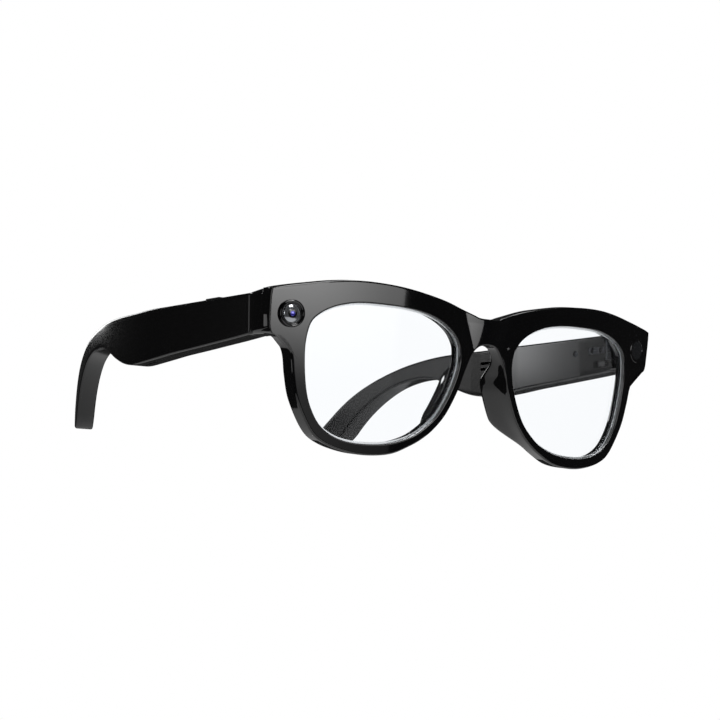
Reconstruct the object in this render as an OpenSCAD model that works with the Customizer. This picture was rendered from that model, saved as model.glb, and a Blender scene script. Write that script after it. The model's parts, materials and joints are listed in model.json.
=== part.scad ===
// Smart glasses: a wrapped plastic front with a camera and an indicator light in its end pieces,
// two lenses, and two hinged temples that hold the electronics, the battery and the speakers.
// Frame: origin on the nose saddle, +Z up, the front faces -Y, +X is the wearer's left.

/* [Front] */
// overall width of the front
front_w = 146.4; // [121:0.2:176]
// height of the lens opening
lens_h = 38.6; // [32:0.1:46.5]
// thickness of the rim from front to back
rim_t = 4.6; // [3.8:0.1:5.6]
// radius of the wrap of the front, seen from above
wrap_r = 334; // [250:1:500]
// forward tilt of the front, degrees
tilt = 8; // [4:0.5:12]
// length of the end piece's side wall, front corner to hinge split
end_run = 7.7; // [7.5:0.1:9.5]

/* [Lens] */
// thickness of each lens
lens_t = 2; // [1.6:0.1:2.4]
// depth of the lens in its groove
groove_d = 0.7; // [0.5:0.05:0.8]

/* [Temple] */
// length of the temple from the hinge split, measured straight back
temple_len = 117; // [97:0.5:141]
// thickness of the temple at its front end
temple_t = 7; // [6.6:0.1:8.4]
// radius of the inward bend of the outer face
bend_r = 143; // [119:1:172]
// wall of the temple shell
wall = 1.2; // [1:0.05:1.4]

/* [Hinge] */
// radius of the hinge pin
pin_r = 0.7; // [0.55:0.01:0.9]
// radius of the hinge knuckles
knuckle_r = 1.6; // [1.5:0.05:1.7]

/* [Camera and light] */
// radius of the camera's front ring
bezel_r = 3.75; // [3.4:0.05:4]
// how far the camera's ring stands out
bezel_out = 1.2; // [0.6:0.1:1.6]
// radius of the indicator light's ring
light_r = 3.65; // [3:0.05:3.9]

/* [Controls] */
// length of the capture button
button_l = 6; // [5:0.1:7.2]
// travel of the capture button
button_travel = 0.4; // [0.25:0.05:0.45]
// travel of the power switch
switch_travel = 2; // [1.6:0.1:2.4]

/* [Fits] */
// clearance around parts that are glued or snapped in
fit = 0.05; // [0.03:0.01:0.1]
// running clearance of the hinge pin
run = 0.05; // [0.03:0.01:0.09]

/* [Hidden] */
$fn = 48;
eps = 0.01;
half_w = front_w / 2;
dw = half_w - 73.2;
kv = (lens_h - 8.2) / 30.4;
n_mid = rim_t / 2;
x_nasal = 10;
x_temporal = 61.5;
x_out = half_w - 0.2;
x_in = x_out - temple_t;
corner_n = wrap_r - sqrt(wrap_r * wrap_r - half_w * half_w);
end_y = corner_n + end_run - n_mid + 0.02;
split = 0.4;
temple_y = end_y + split;
hinge_x = half_w - 8.7;
hinge_y = end_y - 0.4;
dl = temple_len - 117;
dy = temple_y - 14.3;
bend_y = 56 + dl + dy;
in_r = bend_r + 3;
end_z0 = -1.6;
end_z1 = 10.1;
// the cover and cavity begin behind the hinge block
cover_y0 = temple_y + 13.2;
cover_y1 = bend_y + 30;

// heights of the hinge knuckles
k_z = [1.8, 4.0, 4.05, 6.95, 7.0, 9.2];

lens_n0 = 1;

cam_x = half_w - 6.4;
cam_v = 3.2;
light_x = half_w - 6;
light_v = 3.5;

// ---- outlines -------------------------------------------------------------

function fx(x) = x <= x_nasal ? x
    : x >= x_temporal ? x + dw
    : x + dw * (x - x_nasal) / (x_temporal - x_nasal);
function fv(v) = v < 0 ? v * kv : v;
function sized(p) = [for (q = p) [fx(q[0]), fv(q[1])]];
function flip(p) = [for (i = [len(p) - 1 : -1 : 0]) [-p[i][0], p[i][1]]];
function spline(a, b, c, d, t) = 0.5 * (2 * b + (c - a) * t
    + (2 * a - 5 * b + 4 * c - d) * t * t
    + (3 * b - a - 3 * c + d) * t * t * t);
function smooth(p, k) = let (n = len(p))
    [for (i = [0 : n - 1]) for (j = [0 : k - 1])
        spline(p[(i + n - 1) % n], p[i], p[(i + 1) % n], p[(i + 2) % n], j / k)];
// moves a clockwise outline outwards by d
function grow(p, d) = let (n = len(p))
    [for (i = [0 : n - 1]) let (t = p[(i + 1) % n] - p[(i + n - 1) % n])
        p[i] + d * [-t[1], t[0]] / norm(t)];

// half of the outer outline, clockwise from the top centre to the saddle
half_outer = sized([
    [3.4, 7.6], [5.7, 8.3], [10.3, 9.7], [15, 11], [20.8, 12.1], [30, 13.5],
    [38.3, 14.1], [46.5, 14.1], [53.6, 13.4], [61, 12.1], [68, 10.7], [71.6, 9.7],
    [73, 8], [73, 3], [72.3, -2.2], [69.2, -3.5], [66.7, -5.7], [65.4, -8.5],
    [64.4, -13.6], [62.4, -20.2], [57.6, -28], [52.7, -31.3], [45, -33.2],
    [38, -33.5], [31, -32.6], [25.2, -30.2], [21.2, -28], [17.2, -24.9],
    [13.2, -20.2], [9.6, -13.2], [7.8, -8], [5.8, -3.6], [3.3, -0.7]]);
outer = smooth(concat([[0, 7.5]], half_outer, [[0, 0]], flip(half_outer)), 2);

// lens opening of the wearer's left side, clockwise
opening_l = smooth(sized([
    [10.3, -2.6], [11, -0.4], [13.2, 2.4], [16.8, 4.8], [21.5, 6.6], [26.5, 7.6],
    [32, 8.1], [38, 8.2], [44, 8.1], [49, 7.5], [54, 6.1], [58, 3.9],
    [60.5, 1.1], [61.5, -4], [61.2, -10], [60.1, -16.5], [58.4, -21.3],
    [55.4, -25.8], [51.3, -28.6], [46, -30.1], [39, -30.4], [32, -29.7],
    [25.5, -27.7], [21, -25], [16.7, -21.1], [13.4, -15.8], [11.2, -10.5],
    [10.2, -6]]), 2);

// centre line of the brow channel
half_brow = [for (p = [
    [7, 6.3], [12, 8], [17, 8.9], [22, 10], [30, 11.1], [38, 11.5],
    [46, 11.3], [54, 10.3], [60, 8.8], [64.5, 7]]) [fx(p[0]), p[1]]];
brow_line = concat(flip(half_brow), [[0, 4.6]], half_brow);
function side_of(p, d) = let (n = len(p))
    [for (i = [0 : n - 1])
        let (t = p[min(i + 1, n - 1)] - p[max(i - 1, 0)])
        p[i] + d * [-t[1], t[0]] / norm(t)];
function reversed(p) = [for (i = [len(p) - 1 : -1 : 0]) p[i]];
function band(p, w) = concat(side_of(p, w), reversed(side_of(p, -w)));

// side outline of a temple as [y, z], from its top front corner
temple_side = [for (p = [
    [14.3, 10], [40, 10], [62, 10], [70, 9.7], [80, 9.6], [86.6, 9.3], [91.5, 8.8],
    [96.8, 7.9], [102.8, 6.4], [108.8, 4.2], [113.6, 1.9], [117.3, -0.3], [120.3, -2.5],
    [122.9, -4.8], [125.3, -7.3], [127.6, -10], [129.6, -12.4], [131, -14.8],
    [131.2, -17], [129.8, -18.5], [127.4, -18.8], [125.2, -17.6], [123.2, -15.6],
    [120.8, -12.2], [117.8, -8.6], [114.2, -5.2], [110.4, -2.4], [106.6, -0.3],
    [102.6, 1.1], [98.6, 1.9], [94.4, 2.1], [90.6, 1.5], [86.8, -0.1], [82.8, -2.1],
    [78.5, -3.8], [74.5, -4.8], [70, -5.2], [64, -4.9], [50.8, -3.8], [32, -2.6],
    [14.3, -1.3]])
    p[0] < 50 ? [p[0] + dy, p[1]] : [p[0] + dl + dy, p[1]]];

// outline of the cavity inside a temple
cavity_side = [
    [cover_y0 + 1, 8.6], [bend_y + 6, 8.6], [bend_y + 14, 8.2], [cover_y1 - 2, 7.8],
    [cover_y1 - 1, 4], [cover_y1 - 3, 2.4], [bend_y + 24, -0.2], [bend_y + 19, -2.6],
    [bend_y + 14, -3.6], [bend_y + 7, -3.5], [bend_y - 6, -2.3], [cover_y0 + 1, -1.2]];
cover_side = grow(cavity_side, 0.7);

function out_x(y, t) = y <= bend_y ? x_out - t
    : x_out - bend_r + sqrt(pow(bend_r - t, 2) - pow(y - bend_y, 2));
function in_x(y, t) = y <= bend_y ? x_in + t
    : x_in - in_r + sqrt(pow(in_r + t, 2) - pow(y - bend_y, 2));
plan_y = concat([temple_y - 1], [for (i = [0 : 20]) bend_y + i * 4]);

// ---- helpers --------------------------------------------------------------

module tilted() {
    rotate([tilt, 0, 0])
        translate([0, -n_mid, 0])
            children();
}

// an outline [x, v] drawn through the front
module through(p) {
    translate([0, 30, 0])
        rotate([90, 0, 0])
            linear_extrude(34)
                polygon(p);
}

// the curved layer between two depths behind the front surface
module layer(n0, n1) {
    translate([0, wrap_r, -50])
        difference() {
            cylinder(r = wrap_r - n0, h = 90, $fn = 360);
            translate([0, 0, -1])
                cylinder(r = wrap_r - n1, h = 92, $fn = 360);
        }
}

// stands children on the front surface, local +Z facing out
module on_front(x, v) {
    tilted()
        translate([x, wrap_r - sqrt(wrap_r * wrap_r - x * x), v])
            rotate([0, 0, asin(x / wrap_r)])
                rotate([90, 0, 0])
                    children();
}

module box(x0, x1, y0, y1, z0, z1) {
    translate([x0, y0, z0])
        cube([x1 - x0, y1 - y0, z1 - z0]);
}

module both() {
    children();
    mirror([1, 0, 0])
        children();
}

module right() {
    mirror([1, 0, 0])
        children();
}

module side_prism(p, x0 = 20, x1 = 100) {
    translate([x0, 0, 0])
        rotate([90, 0, 90])
            linear_extrude(x1 - x0)
                polygon(p);
}

// the temple's plan between two skins, t_out from its outer face and t_in from its inner face
module plan_prism(t_out, t_in) {
    translate([0, 0, -30])
        linear_extrude(50)
            polygon(concat([for (y = plan_y) [out_x(y, t_out), y]],
                reversed([for (y = plan_y) [in_x(y, t_in), y]])));
}

// the skin along the temple's inner face between two depths
module inner_skin(t0, t1) {
    translate([0, 0, -30])
        linear_extrude(50)
            polygon(concat([for (y = plan_y) [in_x(y, t1), y]],
                reversed([for (y = plan_y) [in_x(y, t0), y]])));
}

// a small countersunk screw lying along X, its head at x = 0 and its shank towards +X
module screw(l) {
    rotate([0, 90, 0])
        difference() {
            union() {
                cylinder(r = 0.55, h = l, $fn = 24);
                cylinder(r = 0.95, h = 0.5, $fn = 24);
            }
            translate([-0.12, -0.6, -eps])
                cube([0.24, 1.2, 0.25]);
        }
}

module screw_hole(l) {
    rotate([0, 90, 0]) {
        cylinder(r = 0.6, h = l + 0.1, $fn = 24);
        translate([0, 0, -1])
            cylinder(r = 1, h = 1.55, $fn = 24);
    }
}

// ---- front ----------------------------------------------------------------

// the block that carries the camera or the light, the hinge and the side wall
module end_block() {
    r = 2.3;
    prof = concat(
        [[x_out - 11.5, end_z0], [x_out - 11.5, end_z1]],
        [for (a = [90 : -15 : 0]) [x_out - r + r * cos(a), end_z1 - r + r * sin(a)]],
        [for (a = [0 : -15 : -90]) [x_out - r + r * cos(a), end_z0 + r + r * sin(a)]]);
    intersection() {
        translate([0, 60, 0])
            rotate([90, 0, 0])
                linear_extrude(70)
                    polygon(prof);
        translate([0, 0, -20])
            linear_extrude(40)
                polygon([[x_out - 11.4, -5], [x_out - 11.4, end_y - 3.2],
                    [x_out - 10, end_y - 2.7], [hinge_x + 2.1, end_y - 2.4],
                    [hinge_x + 2.1, end_y], [x_out, end_y], [x_out, -5]]);
        tilted()
            translate([0, wrap_r, -50])
                cylinder(r = wrap_r - 0.6, h = 90, $fn = 360);
    }
}

// one nose pad, moulded with the rim: a fin that follows the nasal edge and a lip that flares in
module nose_pad() {
    edge = [for (p = outer) if (p[0] > 4.5 && p[0] < 27 && p[1] < -2) p];
    intersection() {
        through(concat(side_of(edge, 0), reversed(side_of(edge, -1.6))));
        layer(rim_t - 1, 10.6);
        translate([0, 0.6, fv(-16)])
            rotate([0, 90, 0])
                cylinder(r = 12, h = 30, $fn = 64);
    }
    intersection() {
        through(concat(side_of(edge, 1.5), reversed(side_of(edge, -1))));
        layer(6, 12);
        translate([0, 2.4, fv(-14)])
            rotate([0, 90, 0])
                cylinder(r = 8, h = 24, $fn = 64);
    }
}

module front_frame() {
    color("#101012")
    difference() {
        union() {
            tilted() {
                intersection() {
                    through(outer);
                    layer(0, rim_t);
                }
                both()
                    nose_pad();
            }
            both()
                end_block();
        }
        // lens openings and grooves
        tilted()
            both() {
                through(opening_l);
                intersection() {
                    through(grow(opening_l, groove_d + fit));
                    layer(lens_n0 - fit, lens_n0 + lens_t + fit);
                }
            }
        // the bridge falls away from its middle to a crease on each side
        tilted()
            difference() {
                translate([0, 1.5, 0])
                    rotate([90, 0, 0])
                        linear_extrude(6)
                            polygon([[-10, 12], [10, 12], [4.6, -4], [-4.6, -4]]);
                translate([0, 28.05, -20])
                    cylinder(r = 28, h = 50, $fn = 180);
            }
        // brow channel and the rebate of its cover
        tilted()
            intersection() {
                through(band(brow_line, 1.2));
                layer(rim_t - 1.7, rim_t + 2);
            }
        // camera seat
        on_front(-cam_x, cam_v) {
            translate([0, 0, -5.9])
                cylinder(r = bezel_r - 0.55 + fit, h = 12);
        }
        // light seat
        on_front(light_x, light_v) {
            translate([0, 0, -4])
                cylinder(r = light_r - 0.5, h = 12);
            translate([0, 0, -1])
                cylinder(r = light_r + fit, h = 6);
        }
        // sensor hole beside the light
        on_front(light_x - 1.2, light_v + 4.6)
            translate([0, 0, -5])
                cylinder(r = 0.35, h = 8, $fn = 24);
        both() {
            // wiring pocket from the bays to the split
            box(half_w - 8, half_w - 1.8, corner_n + 1.2, end_y - 2.3, 3, 8.4);
            box(half_w - 3.3, half_w - 1.8, end_y - 3, end_y + 1, 3.4, 7);
            // pocket of the hinge anchor
            box(hinge_x + 1, half_w - 3.45, end_y - 2.35, end_y + 1, 1.6, 9.4);
            // anchor screw holes
            for (z = [2.9, 8.1])
                translate([half_w - 4.9, end_y - 0.45, z])
                    rotate([0, 0, -90])
                        screw_hole(2.6);
        }
    }
}

module lens_l() {
    tilted()
        intersection() {
            through(grow(opening_l, groove_d));
            layer(lens_n0, lens_n0 + lens_t);
        }
}

module lens_right() {
    color("#e8f0f4", 0.35)
        right()
            lens_l();
}

module lens_left() {
    color("#e8f0f4", 0.35)
        lens_l();
}

module brow_cover() {
    color("#18181a")
        tilted()
            intersection() {
                through(band(brow_line, 1.2 - fit));
                layer(rim_t - 0.8, rim_t);
            }
}

module front_flex() {
    color("#b8742c")
        tilted()
            intersection() {
                through(band(brow_line, 0.8));
                layer(rim_t - 1.5, rim_t - 1.3);
            }
}

// ---- camera ---------------------------------------------------------------

module camera_bezel() {
    color("#0c0c0e")
        on_front(-cam_x, cam_v)
            difference() {
                union() {
                    translate([0, 0, -1.8])
                        cylinder(r = bezel_r - 0.55, h = 2.2);
                    translate([0, 0, 0.05])
                        cylinder(r = bezel_r, h = bezel_out - 0.35);
                    translate([0, 0, bezel_out - 0.3])
                        cylinder(r1 = bezel_r, r2 = bezel_r - 0.3, h = 0.3);
                }
                translate([0, 0, -2.3])
                    cylinder(r = 2.4, h = 6);
                translate([0, 0, 0.2])
                    cylinder(r1 = 2.7, r2 = 3.2, h = bezel_out);
            }
}

module camera_window() {
    color("#9aa0a8", 0.7)
        on_front(-cam_x, cam_v)
            intersection() {
                translate([0, 0, 0.25])
                    cylinder(r = 2.6, h = 2);
                translate([0, 0, 0.25 - 3.9])
                    sphere(r = 4.7, $fn = 64);
            }
}

module camera_barrel() {
    color("#17171a")
        on_front(-cam_x, cam_v)
            difference() {
                translate([0, 0, -4.6])
                    cylinder(r = 2.9, h = 2.7);
                translate([0, 0, -3.4])
                    cylinder(r = 1.6, h = 3);
                translate([0, 0, -5])
                    cylinder(r = 0.9, h = 3);
                translate([0, 0, -2.5])
                    cylinder(r1 = 1.6, r2 = 2.4, h = 0.61);
            }
}

module camera_lens() {
    color("#5060c8", 0.6)
        on_front(-cam_x, cam_v)
            intersection() {
                translate([0, 0, -3.35])
                    cylinder(r = 1.55, h = 1.6);
                translate([0, 0, -4.2])
                    sphere(r = 2.2, $fn = 64);
            }
}

module camera_board() {
    color("#1c5a34")
        on_front(-cam_x, cam_v) {
            translate([0, 0, -5.5])
                cylinder(r = 3.0, h = 0.6);
            translate([-1.6, -1.6, -4.95])
                cube([3.2, 3.2, 0.3]);
        }
}

// ---- indicator light ------------------------------------------------------

module light_bezel() {
    color("#0c0c0e")
        on_front(light_x, light_v)
            difference() {
                translate([0, 0, -0.95])
                    cylinder(r = light_r, h = 1.05);
                translate([0, 0, -3])
                    cylinder(r = 2.4, h = 6);
                translate([0, 0, -0.45])
                    cylinder(r = 2.85, h = 2);
            }
}

module light_window() {
    color("#3a3c40", 0.8)
        on_front(light_x, light_v)
            union() {
                translate([0, 0, -0.4])
                    cylinder(r = 2.8, h = 0.45);
                translate([0, 0, -1.6])
                    cylinder(r = 2.3, h = 1.25);
            }
}

module light_board() {
    color("#1c5a34")
        on_front(light_x, light_v) {
            translate([0, 0, -3.2])
                cylinder(r = 2.9, h = 0.6);
            for (a = [0 : 90 : 270])
                rotate([0, 0, a])
                    translate([0.9, -0.4, -2.65])
                        cube([0.8, 0.8, 0.5]);
        }
}

// ---- hinges ---------------------------------------------------------------

module knuckle(z0, z1, bore) {
    translate([hinge_x, hinge_y, z0])
        difference() {
            cylinder(r = knuckle_r, h = z1 - z0);
            translate([0, 0, -1])
                cylinder(r = bore, h = z1 - z0 + 2);
        }
}

module front_hinge_l() {
    difference() {
        union() {
            for (z = [[k_z[0], k_z[1]], [k_z[4], k_z[5]]]) {
                translate([hinge_x, hinge_y, z[0]])
                    cylinder(r = knuckle_r, h = z[1] - z[0]);
                box(hinge_x, hinge_x + 2.6, end_y - 1.9, end_y - 0.1, z[0], z[1]);
            }
            box(hinge_x + 2.15, half_w - 3.5, end_y - 2.3, end_y - 0.1, 1.65, 9.35);
        }
        for (z = [k_z[0], k_z[4]])
            translate([hinge_x, hinge_y, z - 1])
                cylinder(r = pin_r + 0.02, h = 4.2);
        for (z = [2.9, 8.1])
            translate([half_w - 4.9, end_y - 0.45, z])
                rotate([0, 0, -90])
                    screw_hole(2.6);
    }
}

module front_hinge_right() {
    color("#8c8f94")
        right()
            front_hinge_l();
}

module front_hinge_left() {
    color("#8c8f94")
        front_hinge_l();
}

module hinge_pins() {
    color("#c8ccd0")
        both()
            translate([hinge_x, hinge_y, 0])
                difference() {
                    union() {
                        translate([0, 0, k_z[0] + 0.1])
                            cylinder(r = pin_r, h = k_z[5] - k_z[0]);
                        translate([0, 0, k_z[5] + 0.02])
                            cylinder(r = 1.2, h = 0.5);
                    }
                    translate([-1.5, -0.15, k_z[5] + 0.3])
                        cube([3, 0.3, 1]);
                }
}

module anchor_screws() {
    color("#c8ccd0")
        both()
            for (z = [2.9, 8.1])
                translate([half_w - 4.9, end_y - 0.45, z])
                    rotate([0, 0, -90])
                        screw(2.6);
}

module temple_hinge_l() {
    difference() {
        union() {
            translate([hinge_x, hinge_y, k_z[2]])
                cylinder(r = knuckle_r, h = k_z[3] - k_z[2]);
            translate([0, 0, k_z[2]])
                linear_extrude(k_z[3] - k_z[2])
                    polygon([[hinge_x - 0.6, hinge_y + 1.2], [hinge_x + 1.1, hinge_y + 0.9],
                        [x_in + 1, temple_y + 0.75], [x_in + 1, temple_y + 2],
                        [x_in + 0.05, temple_y + 2]]);
            box(x_in + 0.05, x_in + 1, temple_y + 0.75, temple_y + 10, 3.2, 7.8);
        }
        translate([hinge_x, hinge_y, 0])
            cylinder(r = pin_r + run, h = 12);
        for (y = [4.6, 8.2])
            translate([x_in + 0.45, temple_y + y, 5.5])
                screw_hole(3);
    }
}

module temple_hinge_right() {
    color("#8c8f94")
        right()
            temple_hinge_l();
}

module temple_hinge_left() {
    color("#8c8f94")
        temple_hinge_l();
}

// ---- temples --------------------------------------------------------------

boss = [[cover_y0 + 2.6, 5.2], [cover_y1 - 5.8, 5.6]];

module boss_post(p) {
    translate([out_x(p[0], 0) - 0.9, p[0], p[1]])
        rotate([0, -90, 0])
            cylinder(r = 1.3, h = 5.4 - (p[0] > bend_y ? 0.9 : 0));
}

module boss_hole(p) {
    translate([in_x(p[0], 0) + 0.3, p[0], p[1]])
        screw_hole(3.2);
}

module shell_l() {
    difference() {
        intersection() {
            side_prism(temple_side);
            plan_prism(0, 0);
        }
        // cavity, leaving the bosses
        difference() {
            intersection() {
                side_prism(cavity_side);
                plan_prism(wall, -1);
            }
            for (p = boss)
                intersection() {
                    boss_post(p);
                    plan_prism(0, wall + fit);
                }
        }
        // rebate of the cover
        intersection() {
            side_prism(grow(cover_side, fit));
            inner_skin(-1, wall + fit);
        }
        for (p = boss)
            boss_hole(p);
        // pocket and screw holes of the hinge leaf
        box(x_in - 1, x_in + 1.05, temple_y - 1, temple_y + 10.1, 3.1, 7.9);
        for (y = [4.6, 8.2])
            translate([x_in + 0.45, temple_y + y, 5.5])
                screw_hole(3);
        // wiring passage from the split to the cavity
        box(half_w - 3.3, half_w - 1.8, temple_y - 1, cover_y0 + 2, 3.4, 7);
        // speaker slots in the underside
        for (i = [0 : 3])
            translate([0, bend_y + 7.2 + i * 3, 0])
                box(out_x(bend_y + 12, 0) - 4.8, out_x(bend_y + 12, 0) - 2.4, 0, 1.6, -8, -3);
        // microphone hole in the underside
        translate([half_w - 4.2, cover_y0 + 8, -6])
            cylinder(r = 0.4, h = 6, $fn = 24);
        // bore of the core wire
        core_path(0.75, 0.4);
    }
}

// the metal core that runs through the hook
module core_path(r, extra) {
    p = [for (q = [[90, 5.4], [102.6, 3.6], [112.6, -1.2], [120.3, -7.6], [126, -15]])
        let (y = q[0] + dl + dy) [(out_x(y, 0) + in_x(y, 0)) / 2, y, q[1]]];
    for (i = [0 : 3])
        let (d = p[i + 1] - p[i], l = norm(d), before = i == 0 ? extra : 0.2, after = i == 3 ? extra : 0.2)
            translate(p[i])
                rotate([0, acos(d[2] / l), atan2(d[1], d[0])])
                    translate([0, 0, -before])
                        cylinder(r = r, h = l + before + after, $fn = 24);
}

module cover_l(sw) {
    difference() {
        intersection() {
            side_prism(cover_side);
            inner_skin(0, wall);
        }
        for (p = boss)
            boss_hole(p);
        // two vent slots over the speaker
        for (i = [0 : 1])
            box(x_in - 10, x_in + 4, bend_y + 8, bend_y + 16, 3.2 + i * 1.8, 4.1 + i * 1.8);
        if (sw)
            for (i = [0 : 2])
                translate([x_in - 1, cover_y0 + 14 + i * 3.2, 1.2])
                    rotate([0, 90, 0])
                        cylinder(r = 1.1 + fit, h = 4);
    }
}

module temple_shell_right() {
    color("#151517")
        right()
            difference() {
                shell_l();
                // opening of the capture button
                box(x_out - 4.8, x_out - 1.8, button_y - button_l / 2 - 0.08,
                    button_y + button_l / 2 + 0.08, 7, 12);
            }
}

module temple_shell_left() {
    color("#151517")
        difference() {
            shell_l();
            // slot and pocket of the power switch
            box(x_in - 1, x_in + 2, switch_y - 1.5, switch_y + 1.5 + switch_travel, 0.45, 1.95);
            box(x_in + 1.2, x_in + 4, switch_y - 2.2, switch_y + 4.6, -0.1, 2.5);
        }
}

module temple_cover_right() {
    color("#1a1a1c")
        right()
            cover_l(true);
}

module temple_cover_left() {
    color("#1a1a1c")
        cover_l(false);
}

module temple_screws_l() {
    for (y = [4.6, 8.2])
        translate([x_in + 0.45, temple_y + y, 5.5])
            screw(3);
    for (p = boss)
        translate([in_x(p[0], 0) + 0.3, p[0], p[1]])
            screw(3.2);
}

module temple_screws_right() {
    color("#c8ccd0")
        right()
            temple_screws_l();
}

module temple_screws_left() {
    color("#c8ccd0")
        temple_screws_l();
}

module core_right() {
    color("#a8acb0")
        right()
            core_path(0.7, 0);
}

module core_left() {
    color("#a8acb0")
        core_path(0.7, 0);
}

// ---- electronics of the right temple --------------------------------------

board_y0 = cover_y0 + 5;
board_l = bend_y + 4 - board_y0;

// a place along the main board, as a share of its length
function along_board(share) = board_y0 + share * board_l;

module main_board() {
    color("#1c5a34")
        right() {
            box(x_out - 3, x_out - 2.2, board_y0, along_board(1), -0.9, 6.4);
            box(x_out - 3.5, x_out - 2.95, along_board(0.07), along_board(0.25), 1, 5.6);
            box(x_out - 3.5, x_out - 2.95, along_board(0.67), along_board(0.93), 0, 5);
        }
}

module board_shield() {
    color("#b0b4b8")
        right()
            difference() {
                box(x_out - 4.6, x_out - 3.01, along_board(0.33), along_board(0.6), -0.4, 5.9);
                box(x_out - 4.4, x_out - 2.9, along_board(0.33) + 0.2, along_board(0.6) - 0.2,
                    -0.2, 5.7);
            }
}

module touch_film() {
    color("#b8742c")
        right()
            box(x_out - wall - 0.25, x_out - wall - 0.05, cover_y0 + 5, bend_y - 1, -0.8, 7.4);
}

module speaker_l() {
    translate([(out_x(bend_y + 14, wall) + in_x(bend_y + 14, wall)) / 2, bend_y + 14, 0.2])
        rotate([0, 0, asin(14 / (bend_r - 3))]) {
            difference() {
                box(-1.5, 1.5, -7, 6, -2.4, 4.6);
                box(-1.1, 1.1, -6.4, 5.4, -4, -1.6);
            }
            box(-1.05, 1.05, -6.3, 5.3, -1.9, -1.62);
        }
}

module speaker_right() {
    color("#2a2c30")
        right()
            speaker_l();
}

module speaker_left() {
    color("#2a2c30")
        speaker_l();
}

button_y = temple_y + 19.8;

module tact_switch() {
    color("#8c9096")
        right() {
            box(x_out - 5, x_out - 1.6, button_y - 2.6, button_y + 2.6, 6.5, 7.1);
            translate([x_out - 3.3, button_y, 7.05])
                cylinder(r = 0.9, h = 0.35);
        }
}

module capture_button() {
    color("#0f0f11")
        right() {
            box(x_out - 4.75, x_out - 1.85, button_y - button_l / 2, button_y + button_l / 2, 8.1, 10.6);
            box(x_out - 5.2, x_out - 1.4, button_y - button_l / 2 - 0.6,
                button_y + button_l / 2 + 0.6, 7.85, 8.55);
        }
}

module charge_contacts() {
    color("#d4a838")
        right()
            for (i = [0 : 2])
                translate([x_in, cover_y0 + 14 + i * 3.2, 1.2])
                    rotate([0, 90, 0])
                        cylinder(r = 1.1, h = 1.3);
}

// ---- electronics of the left temple ---------------------------------------

module battery() {
    color("#9aa0a6")
        union() {
            box(x_in + 1.5, x_out - 1.5, cover_y0 + 7, bend_y + 0.5, -1.4, 5.6);
            box(x_in + 2.2, x_out - 2.4, cover_y0 + 6, cover_y0 + 7.5, 0, 4.4);
        }
}

module battery_board() {
    color("#1c5a34")
        union() {
            box(x_in + 2, x_out - 2, bend_y + 1, bend_y + 5, 0.4, 1.2);
            box(x_in + 2.6, x_out - 2.8, bend_y + 1.6, bend_y + 4.2, 1.15, 2);
        }
}

switch_y = temple_y + 4;

module switch_base() {
    color("#8c9096")
        difference() {
            box(x_in + 2.1, x_in + 3.9, switch_y - 2.1, switch_y + 4.5, 0, 2.4);
            box(x_in + 1.9, x_in + 2.9, switch_y - 1, switch_y + 1 + switch_travel, 0.5, 1.9);
        }
}

module power_switch() {
    color("#2a2a2c")
        union() {
            box(x_in - 0.5, x_in + 1.4, switch_y - 1.3, switch_y + 1.3, 0.55, 1.85);
            box(x_in + 1.3, x_in + 2, switch_y - 2, switch_y + 2, 0.2, 2.2);
            box(x_in + 1.9, x_in + 2.8, switch_y - 0.7, switch_y + 0.7, 0.8, 1.6);
        }
}

module mic_l() {
    difference() {
        box(half_w - 5.6, half_w - 3, cover_y0 + 6.2, cover_y0 + 9.8, -1.1, -0.1);
        translate([half_w - 4.2, cover_y0 + 8, -2])
            cylinder(r = 0.25, h = 1.5, $fn = 24);
    }
}

front_frame();
lens_right();
lens_left();
brow_cover();
front_flex();
camera_bezel();
camera_window();
camera_barrel();
camera_lens();
camera_board();
light_bezel();
light_window();
light_board();
front_hinge_right();
front_hinge_left();
hinge_pins();
anchor_screws();
temple_shell_right();
temple_cover_right();
temple_hinge_right();
temple_screws_right();
core_right();
main_board();
board_shield();
touch_film();
speaker_right();
tact_switch();
charge_contacts();
capture_button();
temple_shell_left();
temple_cover_left();
temple_hinge_left();
temple_screws_left();
core_left();
battery();
battery_board();
speaker_left();
switch_base();
power_switch();
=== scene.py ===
import bmesh
import bpy
import json
import math
import numpy as np
from mathutils import Matrix, Vector


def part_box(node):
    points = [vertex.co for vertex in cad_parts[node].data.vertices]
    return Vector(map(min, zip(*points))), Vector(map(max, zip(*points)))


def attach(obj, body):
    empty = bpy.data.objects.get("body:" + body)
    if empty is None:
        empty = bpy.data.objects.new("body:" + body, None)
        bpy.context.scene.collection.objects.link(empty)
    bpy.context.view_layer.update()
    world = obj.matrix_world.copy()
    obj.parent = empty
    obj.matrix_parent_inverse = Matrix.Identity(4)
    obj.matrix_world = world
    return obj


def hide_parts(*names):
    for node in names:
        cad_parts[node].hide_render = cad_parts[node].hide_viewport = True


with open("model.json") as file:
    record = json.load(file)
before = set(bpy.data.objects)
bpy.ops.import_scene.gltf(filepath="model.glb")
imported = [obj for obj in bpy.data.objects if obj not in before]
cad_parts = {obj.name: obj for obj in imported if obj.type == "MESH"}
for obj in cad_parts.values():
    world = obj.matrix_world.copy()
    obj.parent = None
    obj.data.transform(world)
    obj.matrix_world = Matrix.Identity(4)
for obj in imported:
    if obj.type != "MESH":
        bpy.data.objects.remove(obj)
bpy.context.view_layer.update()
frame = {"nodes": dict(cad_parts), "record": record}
MM = 0.001

# ---- sizes shared with the frame, in mm ------------------------------------

RIM_T = 4.6
N_MID = RIM_T / 2
WRAP = 334.0
TILT = math.radians(8)
END_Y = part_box("front_hinge_left")[1].y / MM + 0.1
LENS_N0, LENS_T = 1.0, 2.0


def node_box(name):
    """A CAD node's lowest and highest corners in mm."""
    lo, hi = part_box(name)
    return np.array(lo) / MM, np.array(hi) / MM


# ---- mesh helpers -----------------------------------------------------------

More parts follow.
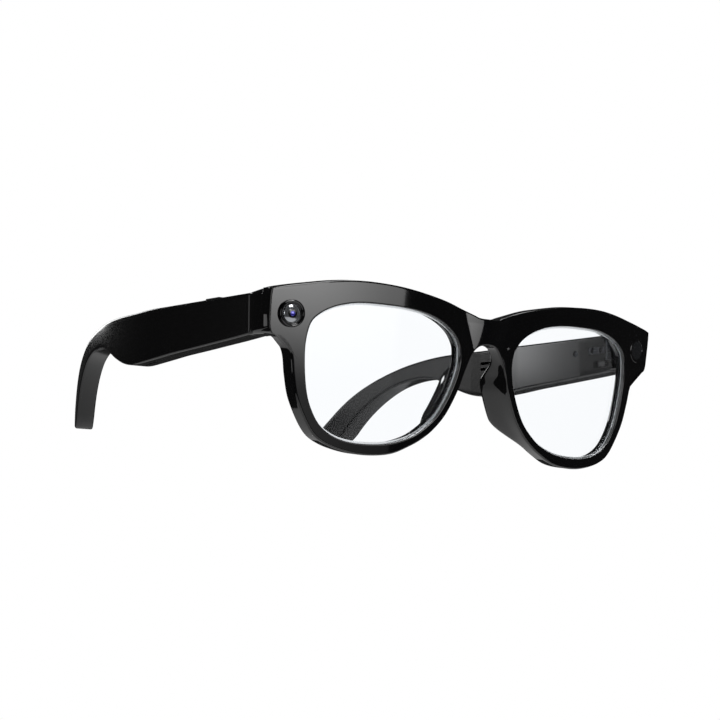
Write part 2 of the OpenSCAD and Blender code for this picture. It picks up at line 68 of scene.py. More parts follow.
def plain_mesh(name, verts_mm, faces):
    """A mesh from points in mm and a list of faces, in the scene as an object at the origin."""
    me = bpy.data.meshes.new(name)
    me.from_pydata((np.asarray(verts_mm, float) * MM).tolist(), [], faces)
    ob = bpy.data.objects.new(name, me)
    bpy.context.scene.collection.objects.link(ob)
    return ob


def new_object(name, verts_mm, faces, body, material):
    """A piece made of one mesh and one material that rides on a body, in a material slot."""
    ob = plain_mesh(name, verts_mm, faces)
    ob.data.validate()
    ob.data.materials.append(material)
    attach(ob, body)
    return ob


def shade(ob, sharp_deg):
    """Smooth shading, except at edges that turn by more than sharp_deg."""
    ob.data.polygons.foreach_set("use_smooth", [True] * len(ob.data.polygons))
    ob.data.set_sharp_from_angle(angle=math.radians(sharp_deg))


def curve_spans(a, b, c, d, k):
    """Catmull-Rom spans from b to c, each leaving b along c - a and reaching c along d - b:
    k points per span, a cubic in the share t of the span."""
    t = (np.arange(k) / k)[None, :, None]
    a, b, c, d = (q[:, None] for q in (a, b, c, d))
    cubic = 3 * b - a - 3 * c + d
    square = 2 * a - 5 * b + 4 * c - d
    return (0.5 * (2 * b + (c - a) * t + square * t * t + cubic * t ** 3)).reshape(-1, 2)


def spline_loop(pts, k):
    """Closed Catmull-Rom curve through pts with k points for each span."""
    p = np.array(pts, float)
    return curve_spans(np.roll(p, 1, axis=0), p, np.roll(p, -1, axis=0), np.roll(p, -2, axis=0), k)


def open_spline(pts, k):
    """Catmull-Rom curve through the points with k steps for each span, its ends carried on
    straight."""
    p = np.array(pts, float)
    p = np.vstack([2 * p[0] - p[1], p, 2 * p[-1] - p[-2]])
    return np.vstack([curve_spans(p[:-3], p[1:-2], p[2:-1], p[3:], k), p[-2]])


def run(p):
    """Distance along a path from its first point to each of its points."""
    return np.r_[0, np.cumsum(np.linalg.norm(np.diff(p, axis=0), axis=1))]


def read_off(q, s, p):
    """Every column of p, given at s, read at q by straight lines."""
    return np.stack([np.interp(q, s, column) for column in p.T], axis=1)


def quarter_turn(steps):
    """Angles of a quarter circle in equal steps, without its start."""
    return np.arange(1, steps + 1) / steps * math.pi / 2


def loop_normals(p):
    """Outward unit normals of a clockwise closed loop."""
    t = np.roll(p, -1, axis=0) - np.roll(p, 1, axis=0)
    n = np.stack([-t[:, 1], t[:, 0]], axis=1)
    return n / np.linalg.norm(n, axis=1)[:, None]


def wrap_n(x):
    """Depth of the front's wrapped surface behind its middle, at x."""
    return WRAP - np.sqrt(WRAP * WRAP - np.square(x))


def tilt_point(x, n, v):
    """From the front's own axes (x, depth n from the front surface, height v) to the row frame."""
    y = (n - N_MID) * math.cos(TILT) - v * math.sin(TILT)
    z = (n - N_MID) * math.sin(TILT) + v * math.cos(TILT)
    return np.stack([x, y, z], axis=-1)


def grid_faces(rows, cols, wrap_rows=False, wrap_cols=False):
    """Quads of a grid of points stored row by row: each joins a point to the next one in its row
    and to the pair beside them in the next row."""
    i = np.arange(rows if wrap_rows else rows - 1)[:, None] * cols
    j = np.arange(cols if wrap_cols else cols - 1)[None]
    i_next = (i + cols) % (rows * cols)
    j_next = (j + 1) % cols
    quads = np.stack([i + j, i + j_next, i_next + j_next, i_next + j], axis=-1)
    return quads.reshape(-1, 4).tolist()


def capped(first, rows, last):
    """A tube of closed rings with a fan from each end ring to a pole, so that it is closed."""
    cols = len(rows[0])
    verts = np.vstack([first[None], *rows, last[None]])
    j = np.arange(cols)
    j_next = (j + 1) % cols
    end_ring = 1 + (len(rows) - 1) * cols
    start = np.stack([0 * j, 1 + j_next, 1 + j], axis=1)
    stop = np.stack([0 * j + len(verts) - 1, end_ring + j, end_ring + j_next], axis=1)
    sides = np.array(grid_faces(len(rows), cols, wrap_cols=True)) + 1
    fans = np.stack([start, stop], axis=1).reshape(-1, 3)
    return verts, sides.tolist() + fans.tolist()


def side_name(side):
    """The wearer's side: +1 is left, -1 is right."""
    return "left" if side > 0 else "right"


def mirror_x(verts, faces):
    """The mirror image across x = 0, with its faces turned to stay outward."""
    v = np.array(verts, float)
    v[:, 0] = -v[:, 0]
    return v, [f[::-1] for f in faces]


# ---- materials --------------------------------------------------------------

def rgb(code):
    """Linear colour of an sRGB hex code."""
    c = np.array([int(code[i:i + 2], 16) for i in (1, 3, 5)]) / 255
    lin = np.where(c <= 0.04045, c / 12.92, ((c + 0.055) / 1.055) ** 2.4)
    return (*lin, 1.0)


def shader(name, color, rough, metallic=0.0, ior=1.5, coat=0.0, coat_rough=0.03,
           transmission=0.0, specular=0.5):
    """A principled material with its even values set on its sockets, its node tree and its
    shader node."""
    m = bpy.data.materials.new(name)
    m.use_nodes = True
    nt = m.node_tree
    p = nt.nodes["Principled BSDF"]
    p.inputs["Base Color"].default_value = rgb(color)
    p.inputs["Roughness"].default_value = rough
    p.inputs["Metallic"].default_value = metallic
    p.inputs["IOR"].default_value = ior
    p.inputs["Coat Weight"].default_value = coat
    p.inputs["Coat Roughness"].default_value = coat_rough
    p.inputs["Transmission Weight"].default_value = transmission
    p.inputs["Specular IOR Level"].default_value = specular
    return m, nt, p


def add_node(nt, kind, settings=None, links=None):
    """Adds a node of a kind to a tree: settings are input values by socket name, links are the
    outputs that feed its inputs."""
    node = nt.nodes.new("ShaderNode" + kind)
    for socket, value in (settings or {}).items():
        node.inputs[socket].default_value = value
    for socket, output in (links or {}).items():
        nt.links.new(output, node.inputs[socket])
    return node


def grain(nt, per_metre, detail=2.0, stretch=(1, 1, 1)):
    """Noise in object space, between 0 and 1, with per_metre features in a metre."""
    coords = add_node(nt, "TexCoord")
    placed = add_node(nt, "Mapping", {"Scale": stretch}, {"Vector": coords.outputs["Object"]})
    return add_node(nt, "TexNoise", {"Scale": per_metre, "Detail": detail},
                    {"Vector": placed.outputs["Vector"]}).outputs["Fac"]


def finish_range(nt, p, smooth, rough, per_metre, detail=2.0, stretch=(1, 1, 1)):
    """Lets a grain move the shader's roughness between two values."""
    level = add_node(nt, "MapRange", {"To Min": smooth, "To Max": rough},
                     {"Value": grain(nt, per_metre, detail, stretch)})
    nt.links.new(level.outputs["Result"], p.inputs["Roughness"])


def polished_plastic(name="polished_black_plastic"):
    # injection moulded nylon, lacquered and polished: a clear gloss over deep black
    m, nt, p = shader(name, "#050506", 0.045, ior=1.52, coat=0.3, coat_rough=0.02)
    finish_range(nt, p, 0.035, 0.06, 90)
    return m


def satin_plastic(name="satin_black_plastic", color="#050506", rough=0.16):
    # the same nylon, lacquered over a finely etched mould: the 0.15 mm grain softens the gloss
    m, nt, p = shader(name, color, rough, ior=1.5)
    finish_range(nt, p, rough - 0.02, rough + 0.02, 6500)
    return m


def clear_lens():
    # cast polycarbonate, hard coated on both faces. The anti-reflective coating leaves the
    # glint of a far lower index than the usual 1.58.
    m, nt, p = shader("clear_lens", "#fbfdff", 0.0, ior=1.18, transmission=1.0)
    finish_range(nt, p, 0.0, 0.004, 60)
    return m


def lens_bevel():
    # the ground edge of the lens scatters the light that runs inside it
    m, nt, p = shader("ground_lens_edge", "#f4f9fd", 0.35, transmission=0.7)
    finish_range(nt, p, 0.2, 0.45, 900)
    return m


def black_ring():
    # turned and anodised ring, then polished: dark, with a soft round glint
    m, nt, p = shader("anodised_ring", "#060607", 0.12, coat=0.4)
    finish_range(nt, p, 0.08, 0.16, 3000, stretch=(1, 1, 8))
    return m


def optic_glass():
    # polished glass dome with a broad-band coating, which mirrors much as metal does
    m, nt, p = shader("optic_dome", "#a9acb0", 0.1, specular=0.9, metallic=0.85)
    finish_range(nt, p, 0.08, 0.13, 400)
    return m


def pupil_glass():
    # the coated front element: violet to blue from the multi-layer coating
    m, nt, p = shader("coated_element", "#3a36a8", 0.05, ior=1.6, coat=1.0, metallic=0.4)
    finish_range(nt, p, 0.03, 0.08, 600)
    return m


def smoked_window():
    # smoked polycarbonate light guide: nearly black until it is lit
    m, nt, p = shader("smoked_window", "#1a1b1d", 0.08, ior=1.58, coat=0.5)
    finish_range(nt, p, 0.06, 0.12, 500)
    return m


def steel(name="shield_steel", color="#8f9296"):
    # stamped stainless steel, tumbled: fine random scratches
    m, nt, p = shader(name, color, 0.3, metallic=1.0)
    finish_range(nt, p, 0.22, 0.38, 2500, 3, (1, 6, 1))
    return m


def blackened_screw():
    # steel screws, blackened in an oxide bath: dark metal with a dull glint
    m, nt, p = shader("blackened_screw", "#2b2c2f", 0.3, metallic=1.0)
    finish_range(nt, p, 0.24, 0.38, 5000, 3)
    return m


def gold_pad():
    # gold plated contact pads, slightly uneven in gloss
    m, nt, p = shader("gold_pad", "#d9b04c", 0.2, metallic=1.0)
    finish_range(nt, p, 0.14, 0.3, 4000, 3)
    return m


def board_green():
    # glass epoxy board under green solder mask: a half gloss
    m, nt, p = shader("solder_mask", "#12502c", 0.4)
    finish_range(nt, p, 0.3, 0.45, 1500)
    return m


def flex_film():
    # copper between two polyimide films: amber with a soft gloss
    m, nt, p = shader("polyimide_flex", "#a4631c", 0.35)
    finish_range(nt, p, 0.28, 0.42, 1200)
    return m


def pouch_foil():
    # aluminium laminate of the cell, with shallow wrinkles
    m, nt, p = shader("pouch_foil", "#a9adb1", 0.32, metallic=1.0)
    wrinkles = add_node(nt, "Bump", {"Strength": 0.4, "Distance": 0.05 * MM},
                        {"Height": grain(nt, 260)})
    nt.links.new(wrinkles.outputs["Normal"], p.inputs["Normal"])
    return m


def dark_moulding():
    # glass filled moulding of the small parts: matt and faintly mottled
    m, nt, p = shader("dark_moulding", "#1b1c1f", 0.5)
    finish_range(nt, p, 0.42, 0.58, 4000, 3)
    return m


MAT = {
    "frame": polished_plastic(), "lens": clear_lens(), "shell": satin_plastic(),
    "cover": satin_plastic("satin_cover", "#070708", 0.2), "bezel": black_ring(),
    "window": optic_glass(), "optics": pupil_glass(), "barrel": dark_moulding(),
    "light": smoked_window(), "board": board_green(), "flex": flex_film(),
    "hinge": steel("black_hinge_steel", "#2c2d30"), "screw": blackened_screw(), "shield": steel(),
    "speaker": dark_moulding(), "contact": gold_pad(), "cell": pouch_foil(),
    "core": steel("core_wire"), "button": satin_plastic("button_plastic", "#0a0a0c", 0.2),
    "switch": satin_plastic("switch_plastic", "#161618", 0.4),
}
EDGE_MAT = lens_bevel()
for sub in frame["record"]["subparts"]:
    ob = frame["nodes"][sub["node"]]
    ob.data.materials.clear()
    ob.data.materials.append(MAT[sub["material_slot"]])


# ---- front ------------------------------------------------------------------

# the wearer's left half of the outline as (across, up), from the brow round to the underside of
# the bridge
HALF_OUTER = [
    (3.4, 7.6), (5.7, 8.3), (10.3, 9.7), (15, 11), (20.8, 12.1), (30, 13.5),
    (38.3, 14.1), (46.5, 14.1), (53.6, 13.4), (61, 12.1), (68, 10.7), (72.1, 9.6),
    (72.9, 8.7), (72.9, 3), (72.3, -2.2), (69.2, -3.5), (66.7, -5.7), (65.4, -8.5),
    (64.4, -13.6), (62.4, -20.2), (57.6, -28), (52.7, -31.3), (45, -33.2),
    (38, -33.5), (31, -32.6), (25.2, -30.2), (21.2, -28), (17.2, -24.9),
    (13.2, -20.2), (9.6, -13.2), (7.8, -8), (5.8, -3.6), (3.3, -0.7)]
# one lens opening as (across, up), clockwise
OPENING = [
    (10.3, -2.6), (11, -0.4), (13.2, 2.4), (16.8, 4.8), (21.5, 6.6), (26.5, 7.6),
    (32, 8.1), (38, 8.2), (44, 8.1), (49, 7.5), (54, 6.1), (58, 3.9),
    (60.5, 1.1), (61.5, -4), (61.2, -10), (60.1, -16.5), (58.4, -21.3),
    (55.4, -25.8), (51.3, -28.6), (46, -30.1), (39, -30.4), (32, -29.7),
    (25.5, -27.7), (21, -25), (16.7, -21.1), (13.4, -15.8), (11.2, -10.5),
    (10.2, -6)]
BRIDGE_TOP = 7.5

# bevels of the outline, of its outer corners and of the openings
EDGE_OUT, EDGE_END, EDGE_IN = 0.55, 0.2, 0.3

# how far a skin stands back from a CAD face that would lie in the same plane
SEAM = 0.04

# the opening's wall from the back to the front, as (offset outward, depth): the lens groove is
# 0.66 deep
OPENING_WALL = [(0, 4.26), (0, 3.4), (0, 3.12), (.66, 3.06), (.66, .94), (0, .88), (0, .6), (0, .3)]

# the outer wall from its front bevel to the back face, as (offset outward, depth),
# plain and at the fullest part of a nose pad
WALL_PLAIN = [(0, 1.2), (0, 1.9), (0, 2.5), (0, 3.0), (0, 3.4), (0, 3.7), (0, 3.95), (0, 4.1),
              (0, 4.2), (-.05, 4.35), (-.12, 4.48), (-.25, 4.54), (-.4, 4.56), (-.55, 4.56),
              (-.7, 4.56), (-.85, 4.56), (-1.0, 4.56), (-1.15, 4.56), (-1.3, 4.56), (-1.45, 4.56)]
WALL_PAD = [(0, 1.5), (0.0, 3), (0.1, 4.2), (0.35, 5.4), (0.7, 6.6), (1.05, 7.8), (1.35, 8.8),
            (1.5, 9.6), (1.45, 10.1), (1.25, 10.45), (.85, 10.6), (.4, 10.5), (0.05, 10.1),
            (-.2, 9.3), (-.45, 8.3), (-.75, 7.1), (-1.05, 6.1), (-1.25, 5.35), (-1.4, 4.9),
            (-1.45, 4.56)]


def half_outline(n):
    """n points along the half outline from the top middle to the saddle, with outward normals."""
    half = np.array(HALF_OUTER, float)
    back = half[::-1] * [-1, 1]
    loop = np.vstack([[0, BRIDGE_TOP], half, [0, 0], back])
    span_steps = 12
    fine = spline_loop(loop, span_steps)
    nor = loop_normals(fine)
    last = (len(half) + 1) * span_steps
    both = np.hstack([fine[:last + 1], nor[:last + 1]])
    # the points gather where the outline turns: a turn of one radian counts as this length
    turn_length = 9.0
    key = run(both[:, :2]) + turn_length * run(both[:, 2:])
    out = read_off(np.linspace(0, key[-1], n), key, both)
    out[:, 2:] /= np.linalg.norm(out[:, 2:], axis=1)[:, None]
    out[0, 0] = out[-1, 0] = 0
    out[0, 2:], out[-1, 2:] = (0, 1), (0, -1)
    return out


def matching(outer_pts, loop):
    """For each outer point a place on the closed opening loop, as a share of one round: the
    nearest one, kept in order, mixed with even steps and averaged over its neighbours."""
    n = len(loop)
    nearest_share, neighbours = 0.72, 9
    near = np.argmin(np.linalg.norm(outer_pts[:, None] - loop[None], axis=2), axis=1)
    u = np.unwrap(near / n * 2 * np.pi) / (2 * np.pi)
    u = np.maximum.accumulate(u)
    m = len(u)
    u = u[0] + (u - u[0]) / max(u[-1] - u[0], 1e-6) * (1 - 1 / m)
    even = u[0] + np.arange(m) / m
    u = nearest_share * u + (1 - nearest_share) * even
    ext = np.r_[u - 1, u, u + 1]
    kernel = np.ones(neighbours) / neighbours
    return np.convolve(ext, kernel, "same")[m:2 * m]


def at(loop, u):
    """Points of a closed loop at shares u of its length."""
    p = np.vstack([loop, loop[:1]])
    s = run(p)
    return read_off((u % 1.0) * s[-1], s, p)


# the fall of the bridge's sides, as the tangent of 10 degrees
KEEL_SLOPE = 0.176


def smooth_step(w):
    """w held between 0 and 1 and eased at both ends by 3 w squared less 2 w cubed."""
    w = np.clip(w, 0, 1)
    return w * w * (3 - 2 * w)


def bridge_fall(x, v):
    """How far the bridge's face lies behind the wrap. Between two slanted creases it is a ridge,
    a hyperbola falling 10 degrees at its sides; outside them the rims rise back over a smooth
    ramp that is 4.5 mm wide low down and 14 mm wide at the brow."""
    keel_round = 2.8
    crease = 6.6 + 0.34 * (v - 2)
    width = np.clip(4.5 + 1.2 * v, 4.5, 14)
    inside = smooth_step((crease + width - np.abs(x)) / width)
    slope = KEEL_SLOPE * (0.7 + 0.3 * np.clip((v + 2) / 8, 0, 1))
    across = np.minimum(np.abs(x), crease)
    return inside * slope * (np.sqrt(np.square(across) + keel_round ** 2) - keel_round)


def bump_along(s, a, b, ramp_a, ramp_b):
    """1 between a and b along s, falling by a smooth step to 0 over the ramps outside."""
    return smooth_step(np.minimum((s - a + ramp_a) / ramp_a, (b + ramp_b - s) / ramp_b))


def front_rim():
    """The front as one closed skin. Rings run round each lens opening: the opening's wall, its
    bevel, the face blended from the opening to the outline, the outline's bevel, its wall, which
    runs back and flares to form the nose pad, then the back face to the opening again."""
    # each ring has points along the half outline, then points up the middle of the bridge
    outline_n, middle_n = 360, 18
    outline = half_outline(outline_n)

    def up_middle(low, high):
        return np.linspace(low, high, middle_n + 2)[1:-1]

    mid = np.stack([np.zeros(middle_n), up_middle(EDGE_OUT, BRIDGE_TOP - EDGE_OUT)], axis=1)
    outer_xy = np.vstack([outline[:, :2], mid])
    loop = spline_loop(OPENING, 14)
    u = matching(outer_xy, loop)
    opn = at(loop, u)
    nrm = at(loop_normals(loop), u)
    nrm /= np.linalg.norm(nrm, axis=1)[:, None]
    is_mid = np.arange(outline_n + middle_n) >= outline_n
    o_nrm = np.vstack([outline[:, 2:], np.zeros((middle_n, 2))])
    # nose pad amount along the outline, by height on the nasal side
    v = outer_xy[:, 1]
    nasal = (outer_xy[:, 0] < 30) & (v < -1) & ~is_mid
    q = np.where(nasal, bump_along(-v, 10.5, 20.0, 8.0, 9.0), 0.0)

    def ring(xy, depth):
        return tilt_point(xy[:, 0], wrap_n(xy[:, 0]) + depth, xy[:, 1])

    rows, wall = [], []

    def add(points, is_wall=False):
        rows.append(points)
        wall.append(is_wall)

    for off, d in OPENING_WALL:
        add(ring(opn + nrm * off, d))
    for t in quarter_turn(5):
        xy = opn + nrm * EDGE_IN * (1 - math.cos(t))
        add(ring(xy, EDGE_IN * (1 - math.sin(t)) + bridge_fall(xy[:, 0], xy[:, 1])))
    p_in = opn + nrm * EDGE_IN
    bevel = np.interp(outer_xy[:, 0], [68.5, 71], [EDGE_OUT, EDGE_END])
    p_out = outer_xy - o_nrm * bevel[:, None]
    for t in np.linspace(0, 1, 34)[1:]:
        xy = p_in + (p_out - p_in) * t
        add(ring(xy, bridge_fall(xy[:, 0], xy[:, 1])))
    for t in quarter_turn(7):
        xy = outer_xy - o_nrm * (bevel * (1 - math.sin(t)))[:, None]
        fall = bridge_fall(xy[:, 0], xy[:, 1])
        add(ring(xy, bevel * (1 - math.cos(t)) + fall), True)
    for (oa, da), (ob, db) in zip(WALL_PLAIN, WALL_PAD):
        off = oa + (ob - oa) * q
        dep = da + (db - da) * q
        dep = np.maximum(dep, EDGE_OUT + bridge_fall(outer_xy[:, 0], outer_xy[:, 1]) * (da < 4))
        add(ring(outer_xy + o_nrm * off[:, None], dep), True)
    last = WALL_PLAIN[-1][0] + (WALL_PAD[-1][0] - WALL_PLAIN[-1][0]) * q
    back_out = outer_xy + o_nrm * last[:, None]
    inset = -WALL_PLAIN[-1][0]
    back_out[is_mid, 1] = up_middle(inset, BRIDGE_TOP - inset)
    back_in = opn + nrm * EDGE_IN
    for t in np.linspace(0, 1, 9):
        xy = back_out + (back_in - back_out) * t
        add(ring(xy, RIM_T - SEAM))
    for t in quarter_turn(4)[:-1]:
        xy = opn + nrm * EDGE_IN * (1 - math.sin(t))
        add(ring(xy, RIM_T - SEAM - EDGE_IN * (1 - math.cos(t))))
    m = outline_n + middle_n
    # rings on the outer wall stop at the middle, where the other half joins on
    quads = np.array(grid_faces(len(rows), m, wrap_rows=True, wrap_cols=True))
    quads = quads.reshape(len(rows), m, 4)
    wall = np.array(wall)
    wall_next = np.roll(wall, -1)
    keep = (np.arange(m)[None] < np.where(wall_next, outline_n - 1, m)[:, None])
    keep &= ~(wall & ~wall_next)[:, None]
    return np.vstack(rows), quads[keep].tolist()


def weld(ob, gap_mm=0.002):
    """Merges points nearer than the gap, drops loose points and turns every face outward."""
    bm = bmesh.new()
    bm.from_mesh(ob.data)
    bmesh.ops.remove_doubles(bm, verts=bm.verts, dist=gap_mm * MM)
    bmesh.ops.dissolve_degenerate(bm, edges=bm.edges, dist=1e-7)
    loose = [v for v in bm.verts if not v.link_faces]
    bmesh.ops.delete(bm, geom=loose, context="VERTS")
    bmesh.ops.recalc_face_normals(bm, faces=bm.faces)
    bm.to_mesh(ob.data)
    bm.free()


def build_front():
    """Both halves of the rim joined along the middle."""
    verts, faces = front_rim()
    other, mirrored = mirror_x(verts, faces)
    both = faces + (np.array(mirrored) + len(verts)).tolist()
    ob = new_object("front_rim", np.vstack([verts, other]), both, "front", MAT["frame"])
    weld(ob)
    shade(ob, 50)
    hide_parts("front_frame")


def rounded_section(x0, x1, z0, z1, radii, k=8):
    """A rectangle in x and z whose corners are quarter circles of four radii: high outer, high
    inner, low inner, low outer."""
    r = np.array(radii)[:, None]
    corner = np.array([(x1, z1), (x0, z1), (x0, z0), (x1, z0)])
    sign = np.array([(1, 1), (-1, 1), (-1, -1), (1, -1)])
    a = np.radians(90 * np.arange(4)[:, None] + np.linspace(0, 90, k))
    x = corner[:, :1] - sign[:, :1] * r + r * np.cos(a)
    z = corner[:, 1:] - sign[:, 1:] * r + r * np.sin(a)
    return np.stack([x, z], axis=-1).reshape(-1, 2)


def end_block(side):
    """Rounded sections along y from inside the rim to the hinge line. The inner side steps out
    at the hinge, the top slopes down from the rim to the temple, and both ends close on their
    middle. A station is (y, inner face, inset)."""
    stations = [(6.7, 61.7, .1), (6.9, 61.7, 0), (8.6, 61.6, 0), (10.3, 61.6, 0), (10.34, 61.6, 0),
                (11.14, 66.6, 0), (11.2, 66.6, 0), (END_Y - .6, 66.6, 0), (END_Y - .3, 66.6, .05),
                (END_Y - .1, 66.6, .16), (END_Y, 66.6, .35)]
    outer_face, low, radii = 72.87, -1.6, (1.2, .6, .6, 2.3)
    rows = []
    for y, x0, inset in stations:
        top = np.interp(y, [8.9, END_Y], [10.85, 10.2])
        xz = rounded_section(x0 + inset, outer_face - inset, low + inset, top - inset, radii)
        rows.append(np.stack([xz[:, 0] * side, np.full(len(xz), y), xz[:, 1]], axis=1))
    verts, faces = capped(rows[0].mean(axis=0), rows, rows[-1].mean(axis=0))
    ob = new_object("end_block_" + side_name(side), verts, faces, "front", MAT["frame"])
    weld(ob)
    shade(ob, 35)


def lens(side):
    """The opening's curve on two wrapped surfaces 2 mm apart, drawn in by rings to the middle.
    The front face ends inside the opening, where a ground bevel slopes back into the groove."""
    loop = spline_loop(OPENING, 8)
    nor = loop_normals(loop)
    middle = np.array([36.5, -10.5])
    face, back = LENS_N0 + .12, LENS_N0 + LENS_T
    # the edge as (offset outward, depth behind LENS_N0): the bevel, the groove, the rear corner
    edge = [(-.5, .12), (-.42, .13), (.02, .75), (.06, .8), (.6, .8), (.6, LENS_T - .1)]
    bevel_steps = len(edge) - 1

    def wrapped(xy, depth):
        return tilt_point(xy[..., 0], wrap_n(xy[..., 0]) + depth, xy[..., 1])

    shares = np.linspace(0, 1, 13)[1:]
    rows = [wrapped(middle + (loop - nor * .55 - middle) * s, face) for s in shares]
    first_bevel = len(rows)
    rows += [wrapped(loop + nor * off, LENS_N0 + dep) for off, dep in edge]
    rows += [wrapped(middle + (loop + nor * .5 - middle) * s, back) for s in shares[::-1]]
    cols = len(loop)
    verts, faces = capped(wrapped(middle, face), rows, wrapped(middle, back))
    verts[:, 0] *= side
    name = side_name(side)
    ob = new_object("clear_lens_" + name, verts, faces, "front", MAT["lens"])
    ob.data.materials.append(EDGE_MAT)
    ground = np.zeros(len(ob.data.polygons), dtype=np.int32)
    ground[(first_bevel - 1) * cols:(first_bevel + bevel_steps) * cols] = 1
    ob.data.polygons.foreach_set("material_index", ground)
    weld(ob)
    shade(ob, 40)
    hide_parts("lens_" + name)


def turned(name, x, v, profile, material, replaces=None, sides=64, sharp=28):
    """A profile of (radius, height) pairs turned round the front's own normal at (x, v).
    Height 0 is the wrapped surface. A profile that starts on the axis has a pole at each end,
    and any other one closes on itself as a ring."""
    s = x / WRAP
    c = math.sqrt(1 - s * s)
    a = np.linspace(0, 2 * np.pi, sides, endpoint=False)
    rows = []
    for r, h in profile:
        px = x + h * s + r * np.cos(a) * c
        pn = wrap_n(x) - h * c + r * np.cos(a) * s
        rows.append(tilt_point(px, pn, v + r * np.sin(a)))
    verts = np.vstack(rows)
    closed = profile[0][0] > 0
    faces = grid_faces(len(rows), sides, wrap_rows=closed, wrap_cols=True)
    ob = new_object(name, verts, faces, "front", material)
    weld(ob)
    shade(ob, sharp)
    if replaces:
        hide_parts(*replaces)


def dome(r, h0, h1, base, k=10):
    """A cap's profile: height h1 in the middle, falling on a circle to h0 at radius r, then
    straight down to base. The circle's radius is (r squared + rise squared) / (2 rise)."""
    rise = h1 - h0
    radius = (r * r + rise * rise) / (2 * rise)
    q = np.linspace(0, r, k)
    cap = np.stack([q, h1 - radius + np.sqrt(radius * radius - q * q)], axis=1)
    return [*cap, (r, base), (0, base)]


def build_camera():
    """Camera at the wearer's right end: an outer ring, an inner stepped ring, the dome and the
    coated element under it."""
    x, v = -66.8, 3.2
    ring = [(3.0, -.2), (3.75, -.2), (3.75, .82), (3.70, 1.0), (3.58, 1.14), (3.4, 1.2),
            (3.22, 1.16), (3.05, 1.02), (2.98, .86), (2.96, .7), (2.86, .66), (2.8, .74),
            (2.66, .78), (2.54, .7), (2.5, .55), (2.5, .1), (3.0, .05)]
    turned("camera_ring", x, v, ring, MAT["bezel"], ["camera_bezel"])
    turned("camera_dome", x, v, dome(2.48, .42, 1.0, .1, 14), MAT["window"],
           ["camera_window"])
    turned("camera_iris", x, v, dome(1.3, .87, 1.03, .6, 8), MAT["bezel"])
    turned("camera_pupil", x, v, dome(.8, .96, 1.08, .6, 8), MAT["optics"])


def build_light():
    """Light at the other end: a flush ring, the smoked disc and a small dot of painted shade above
    it.
    """
    x, v = 67.2, 3.5
    ring = [(2.75, -.3), (3.65, -.3), (3.65, .02), (3.55, .09), (2.95, .09), (2.82, .04),
            (2.75, -.06)]
    turned("light_ring", x, v, ring, MAT["bezel"], ["light_bezel"])
    turned("light_disc", x, v, dome(2.72, .0, .07, -.4, 8), MAT["light"], ["light_window"])
    # a small dark smoked disc above the ring: painted shade, standing for a recess's upper wall in
    # shadow
    turned("painted_shade_dot", x - 1.2, v + 4.6, dome(.35, .012, .03, -.3, 4), MAT["light"])


# ---- temples ----------------------------------------------------------------

# the outer and inner faces are flat up to the bend, then follow circles of two radii
X_OUT, X_IN = 73.0, 66.0
BEND_Y, OUT_R, IN_R = 55.64, 143.0, 146.0

# the shift of both edges along y, from the points below
SIDE_DY = -0.36

# the pockets in the inner face, as (y, z)
COVER_SCREWS = [(29.74, 5.2), (79.84, 5.6)]
SCREW_POCKET_R = 1.3
VENT_Y, VENT_Z = BEND_Y + 12, (3.65, 5.45)
# the speaker's slots in the lower edge: the first one's y, and how far in from the outer face
SPEAKER_Y, SPEAKER_SLOTS, SLOT_PITCH, SPEAKER_IN = BEND_Y + 7.2, 5, 3, 3.4
# the temple's edges seen from the side, as (y, z), from the hinge line to the tip
TOP_RAIL = [
    (14.3, 10), (28, 10), (40, 10), (52, 10), (62, 10), (70, 9.7), (80, 9.6), (86.6, 9.3),
    (91.5, 8.8), (96.8, 7.9), (102.8, 6.4), (108.8, 4.2), (113.6, 1.9), (117.3, -.3),
    (120.3, -2.5), (122.9, -4.8), (125.3, -7.3), (127.6, -10), (129.6, -12.4), (131, -14.8),
    (131.2, -17), (130.7, -17.9)]
LOW_RAIL = [
    (14.3, -1.3), (23, -2), (32, -2.6), (41, -3.2), (50.8, -3.8), (57.5, -4.4), (64, -4.9),
    (70, -5.2), (74.5, -4.8), (78.5, -3.8), (82.8, -2.1), (86.8, -.1), (90.6, 1.5),
    (94.4, 2.1), (98.6, 1.9), (102.6, 1.1), (106.6, -.3), (110.4, -2.4), (114.2, -5.2),
    (117.8, -8.6), (120.8, -12.2), (123.2, -15.6), (125.2, -17.6), (127.4, -18.8),
    (129.8, -18.5), (130.7, -17.9)]
RAIL_START = TOP_RAIL[0][0]


def side_x(y, flat, radius):
    """Across position of a temple face: flat up to the bend, then a circle of the given radius."""
    past = np.maximum(y - BEND_Y, 0)
    return flat - radius + np.sqrt(radius * radius - past * past)


def rails(n_front, n_back, y_split=96.0):
    """Paired points on the top and bottom edges: at the same y up to y_split, then at the same
    share of what is left of each edge, closer together towards the tip."""
    top, low = open_spline(TOP_RAIL, 10), open_spline(LOW_RAIL, 10)
    ys = np.linspace(RAIL_START, y_split, n_front)
    kt, kl = np.argmax(top[:, 0] > y_split), np.argmax(low[:, 0] > y_split)
    a = np.stack([ys, np.interp(ys, top[:kt + 1, 0], top[:kt + 1, 1])], axis=1)
    b = np.stack([ys, np.interp(ys, low[:kl + 1, 0], low[:kl + 1, 1])], axis=1)
    share = np.sin(np.linspace(0, 1, n_back) * math.pi / 2)

    def rest(curve, k, start):
        tail = np.vstack([start, curve[k:]])
        s = run(tail)
        return read_off(share * s[-1], s, tail)

    top_all = np.vstack([a[:-1], rest(top, kt, a[-1])])
    low_all = np.vstack([b[:-1], rest(low, kl, b[-1])])
    top_all[:, 0] += SIDE_DY
    low_all[:, 0] += SIDE_DY
    return top_all, low_all


